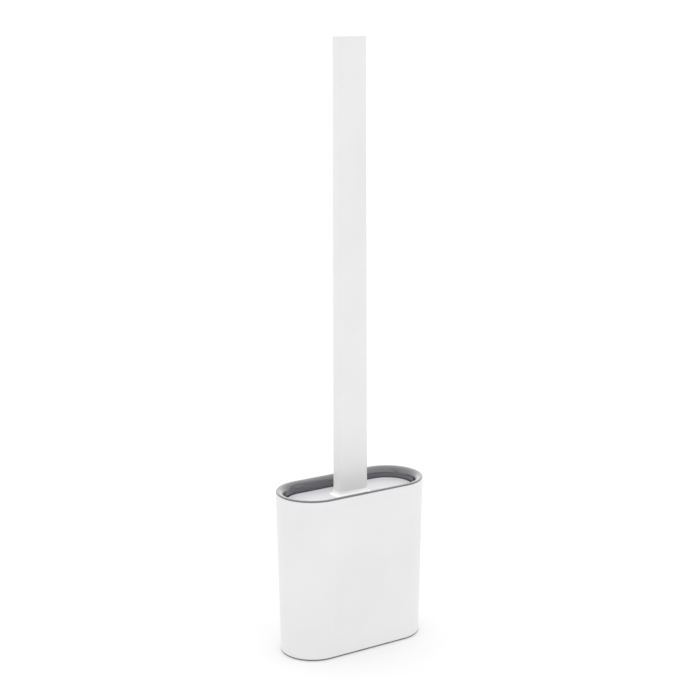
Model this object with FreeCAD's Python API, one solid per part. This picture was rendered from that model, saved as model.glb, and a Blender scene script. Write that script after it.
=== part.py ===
"""Slim toilet brush holder with its flat silicone brush standing in it.

Frame: millimetres, +Z up, origin on the floor under the middle of the holder.
X runs along the wide side of the holder and Y through its narrow side, with the front at -Y.

The holder is a tapered sleeve with half-round ends.  A grey tray closes its foot and a grey
cup hangs in it by a rolled rim.  The brush is a flat tapered handle of two welded halves
round a steel spine, a lid that sits in the mouth of the cup, a collar round the handle's
foot, and a rubber bristle head.
Each piece is written to parts/NAME.step.
"""
import FreeCAD
import Part

import math
import os

V = FreeCAD.Vector
UP = V(0, 0, 1)
ALONG_X = V(1, 0, 0)
ALONG_Y = V(0, 1, 0)

# ---------------------------------------------------------------- driving dimensions
TOTAL_HEIGHT = 420.0
HOLDER_HEIGHT = 115.8
HALF_STRAIGHT = 31.0       # half of the straight part of the plan outline
END_RADIUS_TOP = 25.0      # half-round ends: 112 x 50 at the top
END_RADIUS_FOOT = 22.6     # and 107 x 45 at the foot
SHELL_WALL = 2.2
RIM_HEIGHT = 1.1           # how far the cup's rim stands above the sleeve
RIM_OUTER_ROLL = 0.8       # rounding of the rim's outer edge
RIM_INNER_ROLL = 4.6       # and of its inner edge, where it turns down into the mouth
LID_DEPTH = 7.2            # top of the lid below the top of the rim

# foot and tray
FOOT_PROUD = 0.4           # the pads lift the tray off the floor by this much
FOOT_THICKNESS = 1.6
FOOT_RADIUS = 5.0
FOOT_X = 34.0
FOOT_Y = 13.0
FOOT_RING = 1.3            # wall of the locating ring round each foot
TRAY_FLANGE = 0.8          # the thin grey edge that shows under the sleeve
TRAY_FLOOR = 1.9
TRAY_BORDER_RADIUS = 18.0  # inside this the underside is sunk
TRAY_SUNK = 0.6
TRAY_TOP = 12.0
TRAY_WALL = 1.6
TRAY_GAP = 0.3             # between the tray's upstand and the sleeve
DRIP_RIBS = 5

# cup
CUP_WALL = 1.8
CUP_FLOOR_TOP = 15.0
CUP_FLOOR = 2.0
MOUTH_RADIUS = 19.4        # end radius of the mouth at the rim
LEDGE_RADIUS = 17.4        # end radius of the cup just under the lid
CUP_FOOT_RADIUS = 17.0     # and at its floor
SPACER_GAP = 0.3           # between the cup's spacer ribs and the sleeve

# lid
LID_RADIUS = 18.5
LID_THICKNESS = 2.6

# handle
HANDLE_FOOT = (23.2, 9.3)  # width and thickness at the lid
HANDLE_TIP = (22.0, 8.7)   # and at the top
HANDLE_CORNER = 1.7
HANDLE_WALL = 2.0
TIP_FILLET = 0.7
WEB_PITCH = 40.0
WEB = 2.0
POST_RADIUS = 1.5
POST_HEIGHTS = (127.0, 215.0, 335.0)
POST_SKIN = 1.2            # plastic left between a post's socket and the outer face

# collar round the handle's foot
COLLAR_WALL = 0.35
COLLAR_SLIP = 0.03         # it is pressed on
COLLAR_HEIGHT = 2.9
COLLAR_FLANGE = 0.3        # thickness of its edge, where it lies on the lid
COLLAR_FILLET = 2.3        # the hollow curve between the wall and the edge
COLLAR_ROUNDING = 0.2

# spine
SPINE = (10.0, 2.0)        # width and thickness of the steel bar
SPINE_FOOT = 44.0
SPINE_TIP = 372.0
SLIP = 0.1                 # clearance per side of parts that slide together
PIN_RADIUS = 1.25
PIN_HEIGHT = 101.0

# bristle head
CORE_THICKNESS = 5.0
PADDLE_WIDTH = 66.0
PADDLE_FOOT = 36.0
PAD_WIDTH = 78.0
PAD_DEPTH = 10.0
PAD_FOOT = 29.0
PAD_TOP = 94.0
PAD_CORNER = 17.0
PAD_EDGE = 3.0
BRISTLE_PITCH = 5.8
BRISTLE_REACH = 10.5       # how far a bristle stands out of the flat faces
EDGE_REACH = 6.5           # and out of the narrow edges
BRISTLE_ROOT_RADIUS = 1.25
BRISTLE_TIP_RADIUS = 0.75
BRISTLE_SUNK = 0.4         # each bristle starts this far inside the pad

# ---------------------------------------------------------------- heights that follow
TRAY_UNDERSIDE = FOOT_PROUD
SHELL_FOOT = TRAY_UNDERSIDE + TRAY_FLANGE
SHELL_TOP = HOLDER_HEIGHT - RIM_HEIGHT
TRAY_FLOOR_TOP = TRAY_UNDERSIDE + TRAY_FLOOR
LID_TOP = HOLDER_HEIGHT - LID_DEPTH
LID_SEAT = LID_TOP - LID_THICKNESS
TANG = (HANDLE_FOOT[0] - 2 * HANDLE_WALL - 2 * SLIP - 0.2, HANDLE_FOOT[1] - 2 * HANDLE_WALL - 2 * SLIP)
TANG_TOP = LID_TOP + 32.0


# ---------------------------------------------------------------- outlines
def rounded_wire(corners, place):
    """A closed wire through corners (a, b, radius), each rounded by its radius.

    place(a, b) gives the 3-D point of a flat one."""
    starts = []
    ends = []
    middles = []
    count = len(corners)
    for i, (a, b, radius) in enumerate(corners):
        before = corners[i - 1]
        after = corners[(i + 1) % count]
        to_before = V(before[0] - a, before[1] - b, 0).normalize()
        to_after = V(after[0] - a, after[1] - b, 0).normalize()
        corner = V(a, b, 0)
        if radius <= 0:
            starts.append(corner)
            ends.append(corner)
            middles.append(None)
            continue
        half = to_before.getAngle(to_after) / 2
        inward = (to_before + to_after).normalize()
        run = radius / math.tan(half)
        starts.append(corner + to_before * run)
        ends.append(corner + to_after * run)
        middles.append(corner + inward * (radius / math.sin(half) - radius))
    edges = []
    for i in range(count):
        if middles[i] is not None:
            arc = Part.Arc(place(*starts[i][:2]), place(*middles[i][:2]), place(*ends[i][:2]))
            edges.append(arc.toShape())
        leave = place(*ends[i][:2])
        arrive = place(*starts[(i + 1) % count][:2])
        if (arrive - leave).Length > 1e-6:
            edges.append(Part.LineSegment(leave, arrive).toShape())
    return Part.Wire(edges)


def stadium_solid(corners):
    """Carries a profile round the holder's plan: along both straight sides and round both ends.

    corners are (distance from the plan's centre line, height, corner radius)."""
    face = Part.Face(rounded_wire(corners, lambda a, b: V(0, a, b)))
    right = face.translated(V(HALF_STRAIGHT, 0, 0)).revolve(V(HALF_STRAIGHT, 0, 0), UP, -180)
    left = face.translated(V(-HALF_STRAIGHT, 0, 0)).revolve(V(-HALF_STRAIGHT, 0, 0), UP, 180)
    back = face.translated(V(-HALF_STRAIGHT, 0, 0)).extrude(V(2 * HALF_STRAIGHT, 0, 0))
    front = back.mirror(V(0, 0, 0), ALONG_Y)
    return right.multiFuse([left, back, front]).removeSplitter()


def rounded_rectangle(size, radius, height):
    """A flat rounded rectangle, width along X and thickness along Y, at a height."""
    x = size[0] / 2
    y = size[1] / 2
    corners = [(x, -y, radius), (x, y, radius), (-x, y, radius), (-x, -y, radius)]
    return rounded_wire(corners, lambda a, b: V(a, b, height))


def block(size, middle):
    """A box of size (x, y, z) about its middle."""
    low = V(*[m - s / 2 for m, s in zip(middle, size)])
    return Part.makeBox(*size, low)


def tapered_bar(foot, tip, radius, low, high):
    """A bar between two rounded rectangles."""
    sections = [rounded_rectangle(foot, radius, low), rounded_rectangle(tip, radius, high)]
    return Part.makeLoft(sections, True, True)


def slot(width, length, depth, middle, run, through):
    """A round-ended slot of a width and overall length.

    It runs along one direction and is cut through another."""
    reach = run * ((length - width) / 2)
    start = V(*middle) - through * (depth / 2)
    side = run.cross(through)
    side_reach = side * (width / 2)
    corners = [start - reach - side_reach, start + reach - side_reach]
    corners += [start + reach + side_reach, start - reach + side_reach]
    body = Part.Face(Part.makePolygon(corners + corners[:1])).extrude(through * depth)
    ends = [Part.makeCylinder(width / 2, depth, start + shift, through) for shift in (reach, -reach)]
    return body.multiFuse(ends).removeSplitter()


def shell_radius(height):
    """Outer end radius of the sleeve at a height."""
    share = (height - SHELL_FOOT) / (SHELL_TOP - SHELL_FOOT)
    return END_RADIUS_FOOT + (END_RADIUS_TOP - END_RADIUS_FOOT) * share


def handle_size(height, inset=0.0):
    """Width and thickness of the handle at a height, less a wall on each side."""
    share = (height - LID_TOP) / (TOTAL_HEIGHT - LID_TOP)
    return tuple(a + (b - a) * share - 2 * inset for a, b in zip(HANDLE_FOOT, HANDLE_TIP))


# ---------------------------------------------------------------- holder
def outer_shell():
    """White tapered sleeve, open at both ends, standing on the tray's flange."""
    return stadium_solid([
        (shell_radius(SHELL_FOOT), SHELL_FOOT, 0.4),
        (shell_radius(SHELL_TOP), SHELL_TOP, 0.3),
        (shell_radius(SHELL_TOP) - SHELL_WALL, SHELL_TOP, 0.3),
        (shell_radius(SHELL_FOOT) - SHELL_WALL, SHELL_FOOT, 0.3),
    ])


def base_tray():
    """Grey drip tray: a flange under the sleeve and an upstand that plugs into it."""
    skirt = shell_radius(SHELL_FOOT) - SHELL_WALL - TRAY_GAP
    sunk = TRAY_UNDERSIDE + TRAY_SUNK
    tray = stadium_solid([
        (0, sunk, 0),
        (TRAY_BORDER_RADIUS, sunk, 0.2),
        (TRAY_BORDER_RADIUS, TRAY_UNDERSIDE, 0.2),
        (END_RADIUS_FOOT, TRAY_UNDERSIDE, 0.4),
        (END_RADIUS_FOOT, SHELL_FOOT, 0.2),
        (skirt, SHELL_FOOT, 0),
        (skirt, TRAY_TOP, 0.5),
        (skirt - TRAY_WALL, TRAY_TOP, 0.5),
        (skirt - TRAY_WALL, TRAY_FLOOR_TOP, 1.2),
        (0, TRAY_FLOOR_TOP, 0),
    ])
    pitch = 2 * HALF_STRAIGHT / (DRIP_RIBS - 1)
    ribs = []
    for i in range(DRIP_RIBS):
        x = -HALF_STRAIGHT + i * pitch
        ribs.append(block((1.2, 24.0, 1.4), (x, 0, TRAY_FLOOR_TOP + 0.5)))
    rings = []
    pockets = []
    for x, y in foot_places():
        rings.append(Part.makeCylinder(FOOT_RADIUS + FOOT_RING, TRAY_SUNK + 0.1, V(x, y, TRAY_UNDERSIDE)))
        pockets.append(Part.makeCylinder(FOOT_RADIUS + SLIP, FOOT_THICKNESS, V(x, y, 0)))
    return tray.multiFuse(ribs + rings).cut(Part.makeCompound(pockets)).removeSplitter()


def foot_places():
    """Centres of the four feet."""
    return [(sx * FOOT_X, sy * FOOT_Y) for sy in (-1, 1) for sx in (-1, 1)]


def foot_pad(x, y):
    """Rubber disc glued into a pocket under the tray."""
    pad = Part.makeCylinder(FOOT_RADIUS, FOOT_THICKNESS, V(x, y, 0))
    rim = [e for e in pad.Edges if e.BoundBox.ZMax < 0.1 and e.Closed]
    return pad.makeFillet(0.3, rim)


def inner_liner():
    """Grey cup that hangs in the sleeve by its rolled rim, with drain and vent slots."""
    neck = shell_radius(SHELL_TOP) - SHELL_WALL - 0.5
    under_ledge = LID_SEAT - 2.6
    floor_underside = CUP_FLOOR_TOP - CUP_FLOOR
    cup = stadium_solid([
        (0, floor_underside, 0),
        (CUP_FOOT_RADIUS + CUP_WALL, floor_underside, 3.0),
        (LEDGE_RADIUS + CUP_WALL, under_ledge - 2.4, 1.5),
        (neck - 0.2, under_ledge, 1.0),
        (neck, SHELL_TOP, 0.3),
        (END_RADIUS_TOP, SHELL_TOP, 0.2),
        (END_RADIUS_TOP, HOLDER_HEIGHT, RIM_OUTER_ROLL),
        (MOUTH_RADIUS, HOLDER_HEIGHT, RIM_INNER_ROLL),
        (MOUTH_RADIUS - 0.1, LID_SEAT, 0.3),
        (LEDGE_RADIUS, LID_SEAT, 0.4),
        (CUP_FOOT_RADIUS, CUP_FLOOR_TOP, 3.0),
        (0, CUP_FLOOR_TOP, 0),
    ])
    cup = cup.multiFuse(spacer_ribs())
    return cup.cut(Part.makeCompound(drain_slots() + vent_slots())).removeSplitter()


def spacer_ribs():
    """Upright ribs outside the cup that keep it clear of the sleeve and let air between them."""
    low = CUP_FLOOR_TOP + 4.0
    high = LID_SEAT - 7.0
    inside = SHELL_WALL + SPACER_GAP
    reach = stadium_solid([
        (0, low, 0),
        (shell_radius(low) - inside, low, 0),
        (shell_radius(high) - inside, high, 0),
        (0, high, 0),
    ])
    tall = high - low
    middle = (low + high) / 2
    plates = []
    for side in (-1, 1):
        plates += [block((1.6, 5.0, tall), (x, side * (CUP_FOOT_RADIUS + 3.4), middle)) for x in (-22, 22)]
        plates.append(block((5.0, 1.6, tall), (side * (HALF_STRAIGHT + CUP_FOOT_RADIUS + 3.4), 0, middle)))
    return [plate.common(reach) for plate in plates]


def drain_slots():
    """Slots across the cup's floor."""
    count = 9
    pitch = 8.0
    places = [(i - (count - 1) / 2) * pitch for i in range(count)]
    return [slot(2.6, 22.0, 8.0, (x, 0, CUP_FLOOR_TOP), ALONG_Y, UP) for x in places]


def vent_slots():
    """Upright slots low in both long walls of the cup."""
    count = 7
    pitch = 7.0
    places = [(i - (count - 1) / 2) * pitch for i in range(count)]
    return [slot(2.8, 20.0, 60.0, (x, 0, CUP_FLOOR_TOP + 19.0), UP, ALONG_Y) for x in places if abs(x) < 21]


# ---------------------------------------------------------------- brush
def lid_plate():
    """White lid that sits on the ledge in the mouth of the cup, with a skirt and ribs under it."""
    skirt_out = LEDGE_RADIUS - 0.6
    skirt_in = skirt_out - 1.5
    skirt_foot = LID_SEAT - 4.6
    lid = stadium_solid([
        (0, LID_SEAT, 0),
        (skirt_in, LID_SEAT, 0.4),
        (skirt_in, skirt_foot, 0.3),
        (skirt_out, skirt_foot, 0.5),
        (skirt_out, LID_SEAT, 0.2),
        (LID_RADIUS, LID_SEAT, 0.3),
        (LID_RADIUS, LID_TOP, 0.8),
        (0, LID_TOP, 0),
    ])
    ribs = [block((1.4, 2 * skirt_in + 0.4, 3.0), (x, 0, LID_SEAT - 1.2)) for x in (-28, 28)]
    ribs += [block((16.0, 1.4, 3.0), (side * 35.0, 0, LID_SEAT - 1.2)) for side in (-1, 1)]
    lid = lid.multiFuse(ribs)
    opening = block((TANG[0] + 2 * SLIP, TANG[1] + 2 * SLIP, 12.0), (0, 0, LID_TOP))
    return lid.cut(opening).removeSplitter()


def handle_collar():
    """White ring on the lid round the foot of the handle, with a hollow curve down to its thin edge."""
    outer = tuple(s + 2 * (COLLAR_SLIP + COLLAR_WALL) for s in HANDLE_FOOT)
    outer_corner = HANDLE_CORNER + COLLAR_SLIP + COLLAR_WALL
    wall = Part.Face(rounded_rectangle(outer, outer_corner, LID_TOP)).extrude(UP * COLLAR_HEIGHT)
    spread = COLLAR_FILLET + 0.15
    edge_size = tuple(s + 2 * spread for s in outer)
    edge_outline = rounded_rectangle(edge_size, outer_corner + spread, LID_TOP)
    edge = Part.Face(edge_outline).extrude(UP * COLLAR_FLANGE)
    collar = wall.fuse(edge).removeSplitter()
    root = [e for e in collar.Edges if lies_round_handle(e, LID_TOP + COLLAR_FLANGE, outer)]
    collar = collar.makeFillet(COLLAR_FILLET, root)
    top = [e for e in collar.Edges if lies_round_handle(e, LID_TOP + COLLAR_HEIGHT, outer)]
    collar = collar.makeFillet(COLLAR_ROUNDING, top)
    hole_size = tuple(s + 2 * COLLAR_SLIP for s in HANDLE_FOOT)
    hole_outline = rounded_rectangle(hole_size, HANDLE_CORNER + COLLAR_SLIP, LID_TOP)
    return collar.cut(Part.Face(hole_outline).extrude(UP * COLLAR_HEIGHT))


def lies_round_handle(edge, height, size):
    """True for an edge that lies flat at a height, within a rectangle of a size about the handle."""
    box = edge.BoundBox
    flat = abs(box.ZMin - height) < 0.01 and abs(box.ZMax - height) < 0.01
    reach_x = max(abs(box.XMin), abs(box.XMax))
    reach_y = max(abs(box.YMin), abs(box.YMax))
    return flat and reach_x < size[0] / 2 + 0.05 and reach_y < size[1] / 2 + 0.05


def handle_body():
    """The whole handle before it is split and hollowed: a tapered bar that stands on the lid."""
    bar = tapered_bar(HANDLE_FOOT, HANDLE_TIP, HANDLE_CORNER, LID_TOP, TOTAL_HEIGHT)
    tip_edges = [e for e in bar.Edges if e.BoundBox.ZMin > TOTAL_HEIGHT - 0.01]
    return bar.makeFillet(TIP_FILLET, tip_edges)


def handle_hollow():
    """The space inside the handle: a socket for the tang, then a cavity crossed by webs."""
    low = TANG_TOP + 3.0
    high = TOTAL_HEIGHT - 2.5
    cavity = tapered_bar(handle_size(low, HANDLE_WALL), handle_size(high, HANDLE_WALL), 0.8, low, high)
    webs = []
    z = low + WEB_PITCH / 2
    while z < high - 10:
        webs.append(block((40, 40, WEB), (0, 0, z)))
        z += WEB_PITCH
    cavity = cavity.cut(Part.makeCompound(webs))
    socket_size = (TANG[0] + 2 * SLIP, TANG[1] + 2 * SLIP, TANG_TOP + 1.0 - LID_TOP + 5.0)
    socket = block(socket_size, (0, 0, (TANG_TOP + 1.0 + LID_TOP - 5.0) / 2))
    return cavity.fuse([socket, spine_space(SPINE_TIP + 1.0)])


def spine_space(top):
    """A slot that takes the spine with a little room."""
    low = SPINE_FOOT
    size = (SPINE[0] + 2 * SLIP, SPINE[1] + 2 * SLIP, top - low)
    return block(size, (0, 0, (top + low) / 2))


def handle_half(side):
    """Front (side -1) or back (side 1) half of the handle, welded to the other along the seam."""
    keep = block((60, 30, TOTAL_HEIGHT), (0, side * 15, LID_TOP + TOTAL_HEIGHT / 2))
    half = handle_body().common(keep).cut(handle_hollow())
    for z in POST_HEIGHTS:
        socket_end = V(0, POST_SKIN - handle_size(z)[1] / 2, z)
        if side > 0:
            length = -2 * socket_end.y - SLIP
            half = half.fuse(Part.makeCylinder(POST_RADIUS, length, socket_end + ALONG_Y * SLIP, ALONG_Y))
        else:
            half = half.cut(Part.makeCylinder(POST_RADIUS + SLIP, HANDLE_WALL, socket_end, ALONG_Y))
    return half.removeSplitter()


def spine_bar():
    """Flat steel bar up the middle of the handle and down into the head."""
    bar = block((*SPINE, SPINE_TIP - SPINE_FOOT), (0, 0, (SPINE_TIP + SPINE_FOOT) / 2))
    corners = [e for e in bar.Edges if abs(e.Length - SPINE[1]) < 0.01]
    bar = bar.makeFillet(2.0, corners)
    for z in POST_HEIGHTS:
        bar = bar.cut(Part.makeCylinder(POST_RADIUS + SLIP, 10, V(0, -5, z), ALONG_Y))
    return bar.cut(Part.makeCylinder(PIN_RADIUS + 0.05, 10, V(0, -5, PIN_HEIGHT), ALONG_Y))


def spine_pin():
    """Steel dowel that locks the spine in the neck of the head."""
    return Part.makeCylinder(PIN_RADIUS, 13.0, V(0, -6.5, PIN_HEIGHT), ALONG_Y)


def head_core():
    """Stiff plastic core: tang for the handle, shoulder under the lid, neck and paddle."""
    tang = block((*TANG, TANG_TOP - LID_SEAT), (0, 0, (TANG_TOP + LID_SEAT) / 2))
    shoulder_foot = 96.0
    shoulder_outline = rounded_rectangle((40.0, 14.0), 4.0, shoulder_foot)
    shoulder = Part.Face(shoulder_outline).extrude(UP * (LID_SEAT - shoulder_foot))
    neck = block((30.0, 8.0, 22.0), (0, 0, shoulder_foot - 9.0))
    paddle_top = PAD_TOP - 5.0
    x = PADDLE_WIDTH / 2
    outline = [(-x, PADDLE_FOOT, 12.0), (x, PADDLE_FOOT, 12.0)]
    outline += [(x, paddle_top, 12.0), (-x, paddle_top, 12.0)]
    paddle = Part.Face(rounded_wire(outline, lambda a, b: V(a, -CORE_THICKNESS / 2, b)))
    paddle = paddle.extrude(ALONG_Y * CORE_THICKNESS)
    core = shoulder.multiFuse([neck, paddle, tang]).removeSplitter()
    windows = []
    for sx in (-1, 1):
        windows += [slot(8.0, 26.0, 20.0, (sx * x0, 0, 60.0), UP, ALONG_Y) for x0 in (12.0, 23.5)]
    for z in POST_HEIGHTS[:1]:
        windows.append(Part.makeCylinder(POST_RADIUS + SLIP, 10, V(0, -5, z), ALONG_Y))
    windows.append(Part.makeCylinder(PIN_RADIUS + 0.01, 20, V(0, -10, PIN_HEIGHT), ALONG_Y))
    windows.append(spine_space(TANG_TOP + 1.0))
    return core.cut(Part.makeCompound(windows)).removeSplitter()


def bristle(root, direction, reach):
    """One tapered bristle that starts a little inside the pad."""
    start = root - direction * BRISTLE_SUNK
    return Part.makeCone(BRISTLE_ROOT_RADIUS, BRISTLE_TIP_RADIUS, reach + BRISTLE_SUNK, start, direction)


def face_places():
    """Where bristles stand on a flat face: a staggered grid inside the pad's rounded outline."""
    row_height = BRISTLE_PITCH * math.sqrt(3) / 2
    edge = PAD_EDGE + BRISTLE_ROOT_RADIUS + 0.3
    half = PAD_WIDTH / 2 - edge
    places = []
    rows = int((PAD_TOP - PAD_FOOT - 2 * edge) / row_height) + 1
    for row in range(rows):
        z = PAD_FOOT + edge + row * row_height
        count = 13 - row % 2
        for i in range(count):
            x = (i - (count - 1) / 2) * BRISTLE_PITCH
            corner_x = max(0.0, abs(x) - (half - PAD_CORNER + edge))
            from_middle = abs(z - (PAD_FOOT + PAD_TOP) / 2) - ((PAD_TOP - PAD_FOOT) / 2 - PAD_CORNER)
            corner_z = max(0.0, from_middle)
            inside_corner = math.hypot(corner_x, corner_z) < PAD_CORNER - edge + 0.3
            if abs(x) < half + 0.1 and inside_corner:
                places.append((x, z))
    return places


def edge_places():
    """Roots and directions of the bristles round the pad's narrow edge: both sides and the foot."""
    places = []
    x = PAD_WIDTH / 2
    straight_foot = PAD_FOOT + PAD_CORNER
    straight_top = PAD_TOP - PAD_CORNER
    steps = 6
    for i in range(steps + 1):
        z = straight_foot + (straight_top - straight_foot) * i / steps
        places += [(V(sx * x, 0, z), V(sx, 0, 0)) for sx in (-1, 1)]
    for i in range(1, 4):
        angle = math.radians(90 * i / 4)
        out = V(math.cos(angle), 0, -math.sin(angle))
        centre = V(x - PAD_CORNER, 0, straight_foot)
        for sx in (-1, 1):
            direction = V(sx * out.x, 0, out.z)
            places.append((V(sx * centre.x, 0, centre.z) + direction * PAD_CORNER, direction))
    count = 9
    for i in range(count):
        across = (i / (count - 1) - 0.5) * 2 * (x - PAD_CORNER)
        places.append((V(across, 0, PAD_FOOT), V(0, 0, -1)))
    return places


def bristle_sleeve():
    """Soft rubber moulded over the paddle, with bristles on both faces and round the edge."""
    x = PAD_WIDTH / 2
    outline = [(-x, PAD_FOOT, PAD_CORNER), (x, PAD_FOOT, PAD_CORNER)]
    outline += [(x, PAD_TOP, PAD_CORNER), (-x, PAD_TOP, PAD_CORNER)]
    pad = Part.Face(rounded_wire(outline, lambda a, b: V(a, -PAD_DEPTH / 2, b)))
    pad = pad.extrude(ALONG_Y * PAD_DEPTH)
    rims = [e for e in pad.Edges if e.BoundBox.YLength < 0.01]
    pad = pad.makeFillet(PAD_EDGE, rims)
    bristles = []
    for bx, bz in face_places():
        for side in (-1, 1):
            root = V(bx, side * PAD_DEPTH / 2, bz)
            bristles.append(bristle(root, V(0, side, 0), BRISTLE_REACH))
    for root, direction in edge_places():
        bristles.append(bristle(root, direction, EDGE_REACH))
    print("bristles", len(bristles))
    filled = head_core().fuse(spine_space(PAD_TOP)).removeSplitter()
    return pad.multiFuse(bristles).cut(filled)


# ---------------------------------------------------------------- write the pieces
def pieces():
    """Every piece by name."""
    made = {
        "outer_shell": outer_shell(),
        "base_tray": base_tray(),
        "inner_liner": inner_liner(),
        "lid_plate": lid_plate(),
        "handle_collar": handle_collar(),
        "handle_front_shell": handle_half(-1),
        "handle_back_shell": handle_half(1),
        "spine_bar": spine_bar(),
        "spine_pin": spine_pin(),
        "head_core": head_core(),
        "bristle_sleeve": bristle_sleeve(),
    }
    names = ("front_left", "front_right", "back_left", "back_right")
    for name, place in zip(names, foot_places()):
        made["foot_pad_" + name] = foot_pad(*place)
    return made


def main():
    os.makedirs("parts", exist_ok=True)
    for name, shape in pieces().items():
        box = shape.optimalBoundingBox(False)
        corners = (box.XMin, box.XMax, box.YMin, box.YMax, box.ZMin, box.ZMax)
        volume = round(shape.Volume / 1000, 2)
        print(name, len(shape.Solids), "solid, valid", shape.isValid(), volume, "cm3")
        print("  x, y and z from and to", [round(c, 1) for c in corners])
        shape.exportStep(f"parts/{name}.step")


main()
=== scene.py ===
# %% [markdown]
# # A slim toilet brush holder, step by step
#
# The object is a tapered white holder with half-round ends, a grey cup hanging in it by a rolled rim, and a
# flat brush standing in the cup. The brush has a long bar handle, a lid that closes the cup, and a soft
# rubber head with bristles on both faces.
#
# A hard part whose shape is already right keeps its mesh and gets a good finish here. The soft parts, which
# are the bristle head and the four rubber feet, are modelled here, and they take the place of the plain
# solids that stood for them.

# %% Load the CAD model
import math
import random

import bpy
from mathutils import Matrix, Vector


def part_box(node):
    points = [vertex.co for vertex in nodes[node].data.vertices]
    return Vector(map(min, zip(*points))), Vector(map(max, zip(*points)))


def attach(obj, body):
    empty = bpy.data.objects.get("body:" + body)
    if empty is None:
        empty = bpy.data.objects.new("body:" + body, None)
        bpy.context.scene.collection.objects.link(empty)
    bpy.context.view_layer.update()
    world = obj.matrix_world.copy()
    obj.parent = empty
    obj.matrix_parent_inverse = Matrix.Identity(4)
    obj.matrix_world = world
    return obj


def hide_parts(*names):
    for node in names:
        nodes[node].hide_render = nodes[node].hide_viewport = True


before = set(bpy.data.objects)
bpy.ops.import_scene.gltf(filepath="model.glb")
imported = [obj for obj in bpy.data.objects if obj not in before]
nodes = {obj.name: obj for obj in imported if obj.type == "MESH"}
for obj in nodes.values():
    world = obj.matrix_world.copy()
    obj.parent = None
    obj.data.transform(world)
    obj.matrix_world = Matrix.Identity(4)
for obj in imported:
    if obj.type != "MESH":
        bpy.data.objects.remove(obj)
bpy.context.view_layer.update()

MM = 0.001
print("nodes:", sorted(nodes))

# %% [markdown]
# ## Sizes
#
# Every place below is worked out from the boxes of the CAD parts, so the looks follow the design. A box is
# a lowest and a highest corner, in metres. The values here are the ones that the boxes can't tell: how far
# the bristles reach, how thick they are, and how round the rubber pad is.

# %% Measure the CAD parts
FACE_REACH = 10.5 * MM       # a bristle on a flat face, from root to tip
EDGE_REACH = 6.5 * MM        # a bristle on the narrow edge
BRISTLE_PITCH = 5.8 * MM
BRISTLE_ROOT_RADIUS = 1.25 * MM
BRISTLE_TIP_RADIUS = 0.75 * MM
BRISTLE_SUNK = 0.6 * MM      # how far a root starts inside the pad
PAD_CORNER = 17.0 * MM
PAD_EDGE = 3.0 * MM

head_low, head_high = [Vector(corner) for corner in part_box("bristle_sleeve")]
pad_low = head_low + Vector((EDGE_REACH, FACE_REACH, EDGE_REACH))
pad_high = head_high - Vector((EDGE_REACH, FACE_REACH, 0))
pad_size = pad_high - pad_low
pad_middle = (pad_low + pad_high) / 2
print("rubber pad", [round(v / MM, 1) for v in pad_size], "mm")


# %% [markdown]
# ## Colours and nodes
#
# Colours are written as sRGB hex, as on a paint chart, and Blender's shaders want linear light. One
# function turns one into the other. One more adds a node to a material or to the world, with its settings
# and the links into it, so that a finish reads as a short list of what it is made of.

# %% Two small helpers
def linear(code):
    """Linear red, green, blue and alpha of an sRGB colour such as EDEDEE."""
    parts = [int(code[i:i + 2], 16) / 255 for i in (0, 2, 4)]
    return [c / 12.92 if c <= 0.04045 else ((c + 0.055) / 1.055) ** 2.4 for c in parts] + [1.0]


def add(owner, kind, links=None, **settings):
    """Adds a node of a kind. links feeds its sockets; settings set its sockets and properties by name."""
    node = owner.node_tree.nodes.new(kind)
    sockets = {socket.name.lower().replace(" ", "_"): socket for socket in reversed(list(node.inputs))}
    for name, value in settings.items():
        if name in sockets:
            sockets[name].default_value = value
        else:
            setattr(node, name, value)
    for name, source in (links or {}).items():
        owner.node_tree.links.new(source, node.inputs[name])
    return node


# %% [markdown]
# A moulded part is never quite one colour. The melt flows in from a gate and leaves faint clouds, the
# mould's surface prints its texture on the plastic, and handling changes the gloss a little. Three patterns
# give that: a cloud that blends two near colours, the same cloud nudging the roughness, and a fine grain
# for the bump. All patterns are laid out in object coordinates, so their scale is the real size in
# millimetres.

# %% What every moulded finish has
NOISE_LOW, NOISE_HIGH = 0.3, 0.7        # noise seldom leaves this band
BLEND_STOPS = (0.35, 0.65)              # where a blend reaches its pure colours


def start_material(name):
    """An empty node material and the socket of its object coordinates."""
    material = bpy.data.materials.new(name)
    material.use_nodes = True
    material.node_tree.nodes.clear()
    place = add(material, "ShaderNodeTexCoord").outputs["Object"]
    return material, place


def clouds(material, place, size_mm, detail=2.0, stretch=(1, 1, 1)):
    """Soft noise whose blots are about size_mm across, or longer along the axes that stretch names."""
    scale = tuple(1 / (size_mm * MM * factor) for factor in stretch)
    sized = add(material, "ShaderNodeMapping", {"Vector": place}, scale=scale)
    noise = add(material, "ShaderNodeTexNoise", {"Vector": sized.outputs[0]}, scale=1.0, detail=detail)
    return noise.outputs[0]


def blend_colours(material, factor, colour_a, colour_b):
    """Two near colours blended by a pattern."""
    ramp = add(material, "ShaderNodeValToRGB", {"Fac": factor})
    for element, place, colour in zip(ramp.color_ramp.elements, BLEND_STOPS, (colour_a, colour_b)):
        element.position = place
        element.color = linear(colour)
    return ramp.outputs["Color"]


def spread(material, factor, low, high):
    """Stretches a pattern between two values."""
    ranged = add(material, "ShaderNodeMapRange", {"Value": factor}, from_min=NOISE_LOW, from_max=NOISE_HIGH,
                 to_min=low, to_max=high)
    return ranged.outputs["Result"]


def raised(material, height, depth_mm, below=None):
    """A bump whose hills are depth_mm high, on top of another bump if there is one."""
    links = {"Height": height}
    if below:
        links["Normal"] = below
    return add(material, "ShaderNodeBump", links, strength=1.0, distance=depth_mm * MM).outputs["Normal"]


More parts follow.
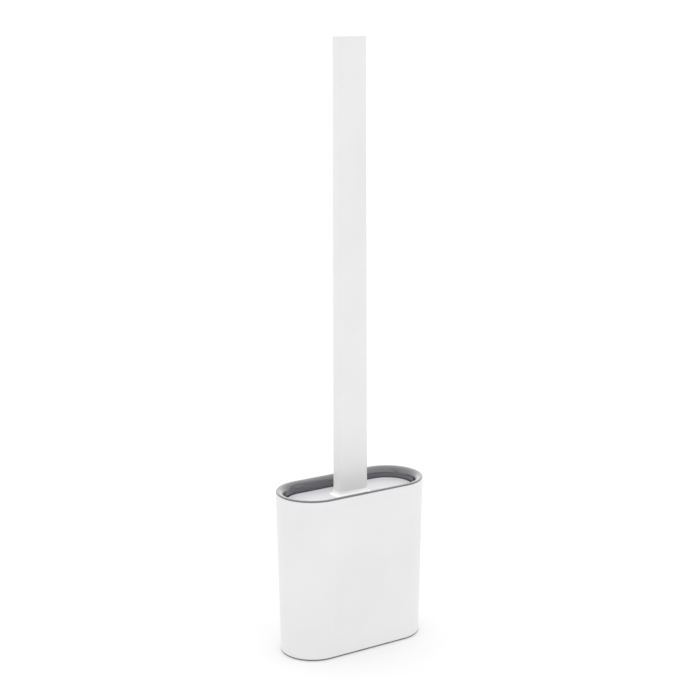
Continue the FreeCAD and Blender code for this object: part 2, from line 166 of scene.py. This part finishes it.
def finish_material(material, links, **settings):
    """Adds the shader, with its IOR, gloss and such as plain values, and joins it to the output."""
    shader = add(material, "ShaderNodeBsdfPrincipled", links, **settings)
    add(material, "ShaderNodeOutputMaterial", {"Surface": shader.outputs[0]})
    print("finish:", material.name)
    return material


# %% [markdown]
# ## The white plastic: ABS from a spark-eroded mould
#
# Sleeve and handle are ABS. Their mould was eroded to a fine satin, which hides sink marks and
# fingerprints. To the eye it is an even, slightly warm white with a soft broad highlight. The real grain is
# about 0.1 mm and can't be seen from a metre away, so it is drawn at 0.6 mm, very shallow, just enough to
# break the gloss.

# %% White ABS
def white_abs():
    """ABS white, spark-eroded satin: soft highlight, faint clouds of colour."""
    material, place = start_material("ABS white, spark-eroded satin")
    melt = clouds(material, place, 45.0)
    grain = clouds(material, place, 0.6, detail=3.0)
    links = {
        "Base Color": blend_colours(material, melt, "D3D3D3", "D7D6D6"),
        "Roughness": spread(material, melt, 0.33, 0.40),
        "Normal": raised(material, grain, 0.012),
    }
    return finish_material(material, links, ior=1.53)


# %% [markdown]
# The collar at the handle's foot is a trim ring of the same plastic, made to be seen, so its mould was
# polished. Its white is painted brighter than the handle's, which is a painted highlight. Real light also
# runs round its hollow curve as a bright line.

# %% Polished white ABS
def polished_abs_painted_highlight():
    """ABS white, polished, painted brighter as a painted highlight: a trim ring with a glossy highlight."""
    material, place = start_material("ABS white, polished, painted highlight")
    melt = clouds(material, place, 12.0)
    waves = clouds(material, place, 2.0)
    links = {
        # E9E9E9 and EDECEC are a painted highlight: the handle's white, painted lighter.
        "Base Color": blend_colours(material, melt, "E9E9E9", "EDECEC"),
        "Roughness": spread(material, melt, 0.18, 0.26),
        "Normal": raised(material, waves, 0.004),
    }
    return finish_material(material, links, ior=1.53)


# %% [markdown]
# ## The lid: ABS from a stoned mould
#
# The lid is the same plastic, but wiped by hand each day, so its mould was smoothed. It mirrors the grey
# wall round it a little, and the melt that ran lengthwise from the middle has left faint streaks.

# %% Lid ABS
def lid_abs():
    """ABS pale grey, stoned mould: soft reflections, with flow streaks along its length."""
    material, place = start_material("ABS pale grey, stoned mould")
    streaks = clouds(material, place, 3.0, detail=3.0, stretch=(9, 1, 1))
    grain = clouds(material, place, 1.2)
    links = {
        "Base Color": blend_colours(material, streaks, "C2C1C3", "C7C6C8"),
        "Roughness": spread(material, streaks, 0.30, 0.38),
        "Normal": raised(material, grain, 0.006),
    }
    return finish_material(material, links, ior=1.53)


# %% [markdown]
# ## The cup and the tray: grey polypropylene
#
# Polypropylene is used where water stands, because nothing sticks to it. It is waxy: mid grey, with a
# smooth skin that catches a bright edge light where the rim rolls over, and goes dark down the wall of the
# mouth. A thin clear coat stands for that skin.

# %% Grey PP
def grey_pp():
    """PP grey, polished mould: a waxy skin over a mid grey, slightly clouded."""
    material, place = start_material("PP grey, polished mould")
    melt = clouds(material, place, 22.0)
    scuffs = clouds(material, place, 1.6, detail=4.0, stretch=(5, 1, 5))
    waves = clouds(material, place, 4.0)
    links = {
        "Base Color": blend_colours(material, melt, "4D4C51", "545358"),
        "Roughness": spread(material, scuffs, 0.14, 0.26),
        "Normal": raised(material, waves, 0.008),
    }
    return finish_material(material, links, ior=1.49, coat_weight=1.0, coat_roughness=0.1, coat_ior=1.49)


# %% [markdown]
# ## The stiff core: white polypropylene
#
# The neck and the paddle inside the head are filled polypropylene, in the natural off-white of the pellets.
# Thin edges of it let a little light through, which the subsurface value gives.

# %% White PP
def white_pp():
    """PP natural white, matt mould: slightly translucent."""
    material, place = start_material("PP natural white, matt mould")
    melt = clouds(material, place, 18.0)
    grain = clouds(material, place, 0.7, detail=3.0)
    links = {
        "Base Color": blend_colours(material, melt, "D8D7D3", "DEDDDA"),
        "Roughness": spread(material, melt, 0.42, 0.52),
        "Normal": raised(material, grain, 0.015),
    }
    return finish_material(material, links, ior=1.49, subsurface_weight=0.15, subsurface_scale=0.002)


# %% [markdown]
# ## The bristle head: soft rubber
#
# The head is a thermoplastic rubber, moulded over the core. It is matt, a little darker in patches where it
# was handled wet, and its surface has the soft bloom of rubber, which is what the sheen is for.

# %% Grey TPR
def grey_tpr():
    """TPR grey, moulded: matt, with a soft bloom."""
    material, place = start_material("TPR grey, soft moulded")
    patches = clouds(material, place, 14.0, detail=3.0)
    grain = clouds(material, place, 0.5, detail=3.0)
    links = {
        "Base Color": blend_colours(material, patches, "8B8C91", "97989C"),
        "Roughness": spread(material, patches, 0.52, 0.66),
        "Normal": raised(material, grain, 0.03),
    }
    return finish_material(material, links, ior=1.48, sheen_weight=0.15, sheen_roughness=0.4)


# %% [markdown]
# ## The spine and its pin: brushed stainless steel
#
# A strip of 304 steel stiffens the handle. It was brushed lengthwise on a belt, so its grain is long fine
# scratches: noise drawn out thirty times along the bar. Metal has no colour of its own beyond its
# reflection, which the scratches smear across the grain.

# %% Brushed steel
def brushed_steel():
    """Stainless steel 304, belt-brushed along its length."""
    material, place = start_material("Stainless steel 304, belt-brushed")
    scratches = clouds(material, place, 0.4, detail=4.0, stretch=(1, 1, 30))
    links = {
        "Base Color": blend_colours(material, scratches, "B4B4B6", "C9C9CB"),
        "Roughness": spread(material, scratches, 0.24, 0.42),
        "Normal": raised(material, scratches, 0.01),
    }
    return finish_material(material, links, metallic=1.0)


# %% [markdown]
# ## The feet: black rubber
#
# EPDM rubber doesn't harden in a wet room. It is nearly black, matt, and holds a little pale dust.

# %% Black rubber
def black_rubber():
    """EPDM rubber, compression moulded: nearly black, with dust in its grain."""
    material, place = start_material("EPDM rubber, compression moulded")
    dust = clouds(material, place, 1.8, detail=4.0)
    grain = clouds(material, place, 0.35, detail=2.0)
    links = {
        "Base Color": blend_colours(material, dust, "2B2B2D", "3D3D3E"),
        "Roughness": spread(material, dust, 0.66, 0.84),
        "Normal": raised(material, grain, 0.03),
    }
    return finish_material(material, links, ior=1.47)


# %% [markdown]
# ## Dress the CAD parts
#
# Each CAD part has one material slot, and the finish goes into it. The mesh isn't touched.

# %% Give the CAD parts their finishes
FINISHES = {
    white_abs: ["outer_shell", "handle_front_shell", "handle_back_shell"],
    polished_abs_painted_highlight: ["handle_collar"],
    lid_abs: ["lid_plate"],
    grey_pp: ["inner_liner", "base_tray"],
    white_pp: ["head_core"],
    brushed_steel: ["spine_bar", "spine_pin"],
}


def dress(piece, material):
    """Puts one material on a piece."""
    piece.data.materials.clear()
    piece.data.materials.append(material)


for make_finish, names in FINISHES.items():
    made = make_finish()
    for name in names:
        dress(nodes[name], made)
tpr = grey_tpr()
rubber = black_rubber()


# %% [markdown]
# ## Choosing faces and edges
#
# Edit-mode operators act on whatever is selected. By hand that is a click; here it is a test on each face's
# middle and normal, or on each edge's two ends, so that the right ones are picked whatever their number.

# %% Pick faces and edges by their place
def start_shape():
    """Leaves edit mode and deselects everything, ready for a new primitive."""
    if bpy.context.object and bpy.context.object.mode != "OBJECT":
        bpy.ops.object.mode_set(mode="OBJECT")
    bpy.ops.object.select_all(action="DESELECT")


def settle(piece):
    """Moves a primitive's place and size into its mesh, so that its object sits at the origin."""
    bpy.ops.object.transform_apply(location=True, rotation=True, scale=True)
    return piece


def pick_faces(piece, wanted):
    """Enters edit mode with the faces selected whose middle and normal pass the test."""
    bpy.ops.object.mode_set(mode="EDIT")
    bpy.ops.mesh.select_mode(type="FACE")
    bpy.ops.mesh.select_all(action="DESELECT")
    bpy.ops.object.mode_set(mode="OBJECT")
    for face in piece.data.polygons:
        face.select = wanted(face.center, face.normal)
    bpy.ops.object.mode_set(mode="EDIT")


def pick_edges(piece, wanted):
    """Enters edit mode with the edges selected whose two ends pass the test."""
    bpy.ops.object.mode_set(mode="EDIT")
    bpy.ops.mesh.select_mode(type="EDGE")
    bpy.ops.mesh.select_all(action="DESELECT")
    bpy.ops.object.mode_set(mode="OBJECT")
    points = piece.data.vertices
    for edge in piece.data.edges:
        a, b = [points[i].co for i in edge.vertices]
        edge.select = wanted(a, b)
    bpy.ops.object.mode_set(mode="EDIT")


def smooth(piece, degrees):
    """Back to object mode, smooth where the surface turns by less than an angle."""
    bpy.ops.object.mode_set(mode="OBJECT")
    bpy.ops.object.shade_smooth_by_angle(angle=math.radians(degrees))
    print(piece.name, len(piece.data.polygons), "faces")


def near(a, b):
    """True for two lengths that are the same to a hundredth of a millimetre."""
    return abs(a - b) < 0.01 * MM


# %% [markdown]
# ## The rubber pad of the head
#
# The pad is a flat block of rubber with large rounded corners, cast round the paddle. A cube at its real
# size gets its four corners rounded by a wide bevel along the edges that run from front to back, and then a
# small bevel softens the outline of both faces. Extruding an outline would do as well, but two bevels need
# no outline to be drawn.

# %% Model the pad
def rounded_pad():
    """A block with large corners and softened rims."""
    start_shape()
    bpy.ops.mesh.primitive_cube_add(size=1, location=pad_middle, scale=pad_size)
    pad = settle(bpy.context.object)
    pad.name = "bristle_head"
    pick_edges(pad, lambda a, b: near(a.x, b.x) and near(a.z, b.z))
    bpy.ops.mesh.bevel(offset=PAD_CORNER, segments=10, affect="EDGES")
    pick_edges(pad, lambda a, b: near(a.y, b.y) and (near(a.y, pad_low.y) or near(a.y, pad_high.y)))
    bpy.ops.mesh.bevel(offset=PAD_EDGE, segments=5, affect="EDGES")
    smooth(pad, 40)
    return pad


pad = rounded_pad()

# %% [markdown]
# Where the neck leaves the pad, the rubber climbs a little way up it in a cuff, which stops water getting
# in. It is a second block, a little larger than the neck all round, with its upright and top edges rounded,
# and it is sunk in the pad's top. It is a little thinner than the pad, because two faces in one plane would
# flicker.

# %% Model the cuff round the neck
CUFF_WIDTH = 35.0 * MM
CUFF_DEPTH = 9.2 * MM
CUFF_HEIGHT = 9.0 * MM
CUFF_ROUNDING = 1.6 * MM


def neck_cuff():
    """The raised block of rubber round the neck."""
    start_shape()
    middle = (0, 0, pad_high.z - CUFF_HEIGHT / 2)
    bpy.ops.mesh.primitive_cube_add(size=1, location=middle, scale=(CUFF_WIDTH, CUFF_DEPTH, CUFF_HEIGHT))
    cuff = settle(bpy.context.object)
    bottom = pad_high.z - CUFF_HEIGHT
    pick_edges(cuff, lambda a, b: not (near(a.z, bottom) and near(b.z, bottom)))
    bpy.ops.mesh.bevel(offset=CUFF_ROUNDING, segments=4, affect="EDGES")
    smooth(cuff, 40)
    return cuff


cuff = neck_cuff()

# %% [markdown]
# ## One bristle
#
# A moulded bristle is a cone with a rounded tip, thick at the root so that it springs back. It starts as a
# cylinder of eight sides, its top face is shrunk, and a small bevel rounds the tip. There are about three
# hundred, so one has only a few dozen faces.

# %% Model a bristle
TIP_ROUNDING = 0.5 * MM


def one_bristle(reach):
    """A tapered bristle that stands at the origin and points up."""
    start_shape()
    length = reach + BRISTLE_SUNK
    bpy.ops.mesh.primitive_cylinder_add(vertices=8, radius=BRISTLE_ROOT_RADIUS, depth=length,
                                        location=(0, 0, length / 2))
    shape = settle(bpy.context.object)
    pick_faces(shape, lambda middle, normal: normal.z > 0.9)
    shrink = BRISTLE_TIP_RADIUS / BRISTLE_ROOT_RADIUS
    bpy.ops.transform.resize(value=(shrink, shrink, 1), center_override=(0, 0, length))
    pick_edges(shape, lambda a, b: near(a.z, length) and near(b.z, length))
    bpy.ops.mesh.bevel(offset=TIP_ROUNDING, segments=2, affect="EDGES")
    smooth(shape, 60)
    return shape


face_bristle = one_bristle(FACE_REACH)
edge_bristle = one_bristle(EDGE_REACH)


# %% [markdown]
# ## Where the bristles stand
#
# On the flat faces they stand in staggered rows, as in a honeycomb, wherever the pad's face is flat. Round
# the narrow edge they stand in one row, square to the outline: up both sides, round both lower corners and
# along the foot. Both rules are loops, so a change of pitch re-plants the whole head.

# %% Plan the rows
ROW_COUNT = 13               # bristles in the longer rows of a face
SIDE_COUNT = 7               # bristles up each narrow side
CORNER_STEPS = 4             # steps of angle round each lower corner
FOOT_COUNT = 9               # bristles along the foot
ROOM = 0.3 * MM              # flat rubber kept free outside a root


def face_spots():
    """Places on a flat face, in staggered rows inside the rounded outline."""
    margin = PAD_EDGE + BRISTLE_ROOT_RADIUS + ROOM
    row_height = BRISTLE_PITCH * math.sqrt(3) / 2
    half_wide = pad_size.x / 2 - margin
    half_tall = pad_size.z / 2 - margin
    corner = PAD_CORNER - margin
    rows = int(2 * half_tall / row_height) + 1
    spots = []
    for row in range(rows):
        z = -half_tall + row * row_height
        count = ROW_COUNT - row % 2
        for i in range(count):
            x = (i - (count - 1) / 2) * BRISTLE_PITCH
            past_x = max(0.0, abs(x) - (half_wide - corner))
            past_z = max(0.0, abs(z) - (half_tall - corner))
            if math.hypot(past_x, past_z) < corner + ROOM:
                spots.append(pad_middle + Vector((x, 0, z)))
    return spots


def edge_spots():
    """Roots and directions of the row round the narrow edge."""
    spots = []
    half = pad_size.x / 2
    bend = pad_low.z + PAD_CORNER
    straight = pad_size.z - 2 * PAD_CORNER
    for side in (-1, 1):
        for i in range(SIDE_COUNT):
            root = Vector((side * half, 0, bend + straight * i / (SIDE_COUNT - 1)))
            spots.append((root, Vector((side, 0, 0))))
        for i in range(1, CORNER_STEPS):
            angle = math.radians(90 * i / CORNER_STEPS)
            out = Vector((side * math.cos(angle), 0, -math.sin(angle)))
            spots.append((Vector((side * (half - PAD_CORNER), 0, bend)) + out * PAD_CORNER, out))
    for i in range(FOOT_COUNT):
        x = (i / (FOOT_COUNT - 1) - 0.5) * 2 * (half - PAD_CORNER)
        spots.append((Vector((x, 0, pad_low.z)), Vector((0, 0, -1))))
    return spots


print(len(face_spots()), "bristles on each face and", len(edge_spots()), "round the edge")

# %% [markdown]
# ## Plant them
#
# Soft bristles never stand quite alike: each leans by up to two degrees, from a seeded draw, so the result
# is the same each time. Every copy has a mesh of its own, and all of them are joined to the pad as one
# moulding, which is what it is.

# %% Copy the bristles and join the head
LEAN = math.radians(2.0)
draw = random.Random(7)


def plant(pattern, root, out):
    """A copy of a bristle that stands on the pad and points out, leaning a little."""
    copy = pattern.copy()
    copy.data = pattern.data.copy()
    bpy.context.collection.objects.link(copy)
    tilt = draw.uniform(0, LEAN)
    axis = Vector((draw.uniform(-1, 1), draw.uniform(-1, 1), 0.01))
    lean = Matrix.Rotation(tilt, 4, axis)
    turn = out.to_track_quat("Z", "Y").to_matrix().to_4x4()
    copy.matrix_world = Matrix.Translation(root - out * BRISTLE_SUNK) @ turn @ lean
    return copy


planted = []
for spot in face_spots():
    for side in (-1, 1):
        out = Vector((0, side, 0))
        planted.append(plant(face_bristle, spot + out * pad_size.y / 2, out))
for root, out in edge_spots():
    planted.append(plant(edge_bristle, root, out))

for pattern in (face_bristle, edge_bristle):
    bpy.data.objects.remove(pattern)
start_shape()
for piece in planted + [cuff, pad]:
    piece.select_set(True)
bpy.context.view_layer.objects.active = pad
bpy.ops.object.join()
dress(pad, tpr)
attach(pad, "brush")
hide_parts("bristle_sleeve")
print("bristle head", len(pad.data.polygons), "faces")

# %% [markdown]
# ## The rubber feet
#
# Four rubber discs keep the holder from sliding. Underneath, a disc has two ring grooves, so that it grips
# a wet floor. A cylinder's lower face is inset four times, which draws the rings, and the faces between are
# pushed up as grooves. A groove cut with a boolean would leave long thin faces; insets keep them even.

# %% Model a foot
GROOVE_DEPTH = 0.5 * MM
GROOVE_WIDTH = 0.55 * MM
LAND_WIDTH = 1.0 * MM
FOOT_ROUNDING = 0.25 * MM
FOOT_SIDES = 48
RIM_MARGIN = 0.05 * MM       # an edge this near the full radius is the outer one


def rubber_foot(node):
    """A grooved disc in the place of a plain foot pad."""
    low, high = [Vector(corner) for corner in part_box(node)]
    radius = (high.x - low.x) / 2
    middle = (low + high) / 2
    start_shape()
    bpy.ops.mesh.primitive_cylinder_add(vertices=FOOT_SIDES, radius=radius, depth=high.z - low.z,
                                        location=middle)
    foot = settle(bpy.context.object)
    foot.name = node.replace("foot_pad", "rubber_foot")
    for ring in range(2):
        groove_start = radius - (LAND_WIDTH + GROOVE_WIDTH) * ring - LAND_WIDTH
        pick_faces(foot, lambda spot, normal: normal.z < -0.9
                   and near(spot.x, middle.x) and near(spot.y, middle.y))
        bpy.ops.mesh.inset(thickness=LAND_WIDTH)
        bpy.ops.mesh.inset(thickness=GROOVE_WIDTH)

        def in_groove(spot, normal):
            away = math.hypot(spot.x - middle.x, spot.y - middle.y)
            return normal.z < -0.9 and groove_start - GROOVE_WIDTH < away < groove_start

        pick_faces(foot, in_groove)
        bpy.ops.mesh.extrude_region_move(TRANSFORM_OT_translate={"value": (0, 0, GROOVE_DEPTH)})
    outside = radius - RIM_MARGIN
    pick_edges(foot, lambda a, b: near(a.z, low.z) and near(b.z, low.z) and min(
        math.hypot(a.x - middle.x, a.y - middle.y), math.hypot(b.x - middle.x, b.y - middle.y)) > outside)
    bpy.ops.mesh.bevel(offset=FOOT_ROUNDING, segments=3, affect="EDGES")
    smooth(foot, 35)
    return foot


for node in sorted(name for name in nodes if name.startswith("foot_pad")):
    foot = rubber_foot(node)
    dress(foot, rubber)
    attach(foot, "base")
    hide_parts(node)

# %% [markdown]
# ## Floor
#
# The object stands on a light table, as small products do for a catalogue: a pale sheet that is lit from
# below as well as from above. The sheet glows a little, which fills the shadow under the object until only
# a faint soft one is left.

# %% Floor
FLOOR_RADIUS = 40.0
FLOOR_GLOW = 0.34
start_shape()
bpy.ops.mesh.primitive_circle_add(vertices=96, radius=FLOOR_RADIUS, fill_type="NGON", location=(0, 0, 0))
floor = bpy.context.object
floor.name = "floor"
sheet = bpy.data.materials.new("Acrylic sheet, opal, lit from below")
sheet.use_nodes = True
sheet.node_tree.nodes.clear()
opal = add(sheet, "ShaderNodeBsdfPrincipled", base_color=linear("B8B8B8"), roughness=1.0,
           specular_ior_level=0.0, emission_color=linear("FFFFFF"), emission_strength=FLOOR_GLOW)
add(sheet, "ShaderNodeOutputMaterial", {"Surface": opal.outputs[0]})
dress(floor, sheet)

# %% [markdown]
# ## Light
#
# Soft studio light comes from everywhere, and more of it from above, as in a light tent with its lamps on
# top. The world is a ramp by height: plain white at the floor line, brighter just above it, and brightest
# overhead.

# %% Light
HORIZON_LIGHT = 1.06
LOW_LIGHT = 1.35
TOP_LIGHT = 1.60
BRIGHTEST = 2.2              # a ramp's colours stop at 1, so the strength carries the rest
HORIZON_END, LOW_START = 0.03, 0.07     # heights, from 0 at the floor line to 1 overhead

world = bpy.data.worlds.new("light tent")
bpy.context.scene.world = world
world.use_nodes = True
world.node_tree.nodes.clear()
direction = add(world, "ShaderNodeTexCoord").outputs["Generated"]
height = add(world, "ShaderNodeSeparateXYZ", {"Vector": direction}).outputs["Z"]
glow = add(world, "ShaderNodeValToRGB", {"Fac": height})
stops = [(0.0, HORIZON_LIGHT), (HORIZON_END, HORIZON_LIGHT), (LOW_START, LOW_LIGHT), (1.0, TOP_LIGHT)]
while len(glow.color_ramp.elements) < len(stops):
    glow.color_ramp.elements.new(0.5)
for element, (place, value) in zip(glow.color_ramp.elements, stops):
    element.position = place
    element.color = [value / BRIGHTEST] * 3 + [1.0]
sky = add(world, "ShaderNodeBackground", {"Color": glow.outputs["Color"]}, strength=BRIGHTEST)
add(world, "ShaderNodeOutputWorld", {"Surface": sky.outputs[0]})
bpy.context.scene.view_settings.view_transform = "Standard"

# %% [markdown]
# ## Camera
#
# A long lens, a little above the top of the handle, looks down at the object from its front left corner.
# The long lens keeps the uprights nearly parallel.

# %% Camera
TURN = math.radians(33.24)
TILT = math.radians(12.70)
ROLL = math.radians(-0.12)
DISTANCE = 1.0432
EYE_HEIGHT = 0.4451
SENSOR_MM = 36.0
LENS_MM = 80.81

camera_data = bpy.data.cameras.new("camera")
camera_data.sensor_width = SENSOR_MM
camera_data.lens = LENS_MM
camera = bpy.data.objects.new("camera", camera_data)
place = Matrix.Translation((-DISTANCE * math.sin(TURN), -DISTANCE * math.cos(TURN), EYE_HEIGHT))
heading = Matrix.Rotation(-TURN, 4, "Z") @ Matrix.Rotation(math.pi / 2 - TILT, 4, "X")
aim = heading @ Matrix.Rotation(ROLL, 4, "Z")
camera.matrix_world = place @ aim
bpy.context.scene.collection.objects.link(camera)
bpy.context.scene.camera = camera
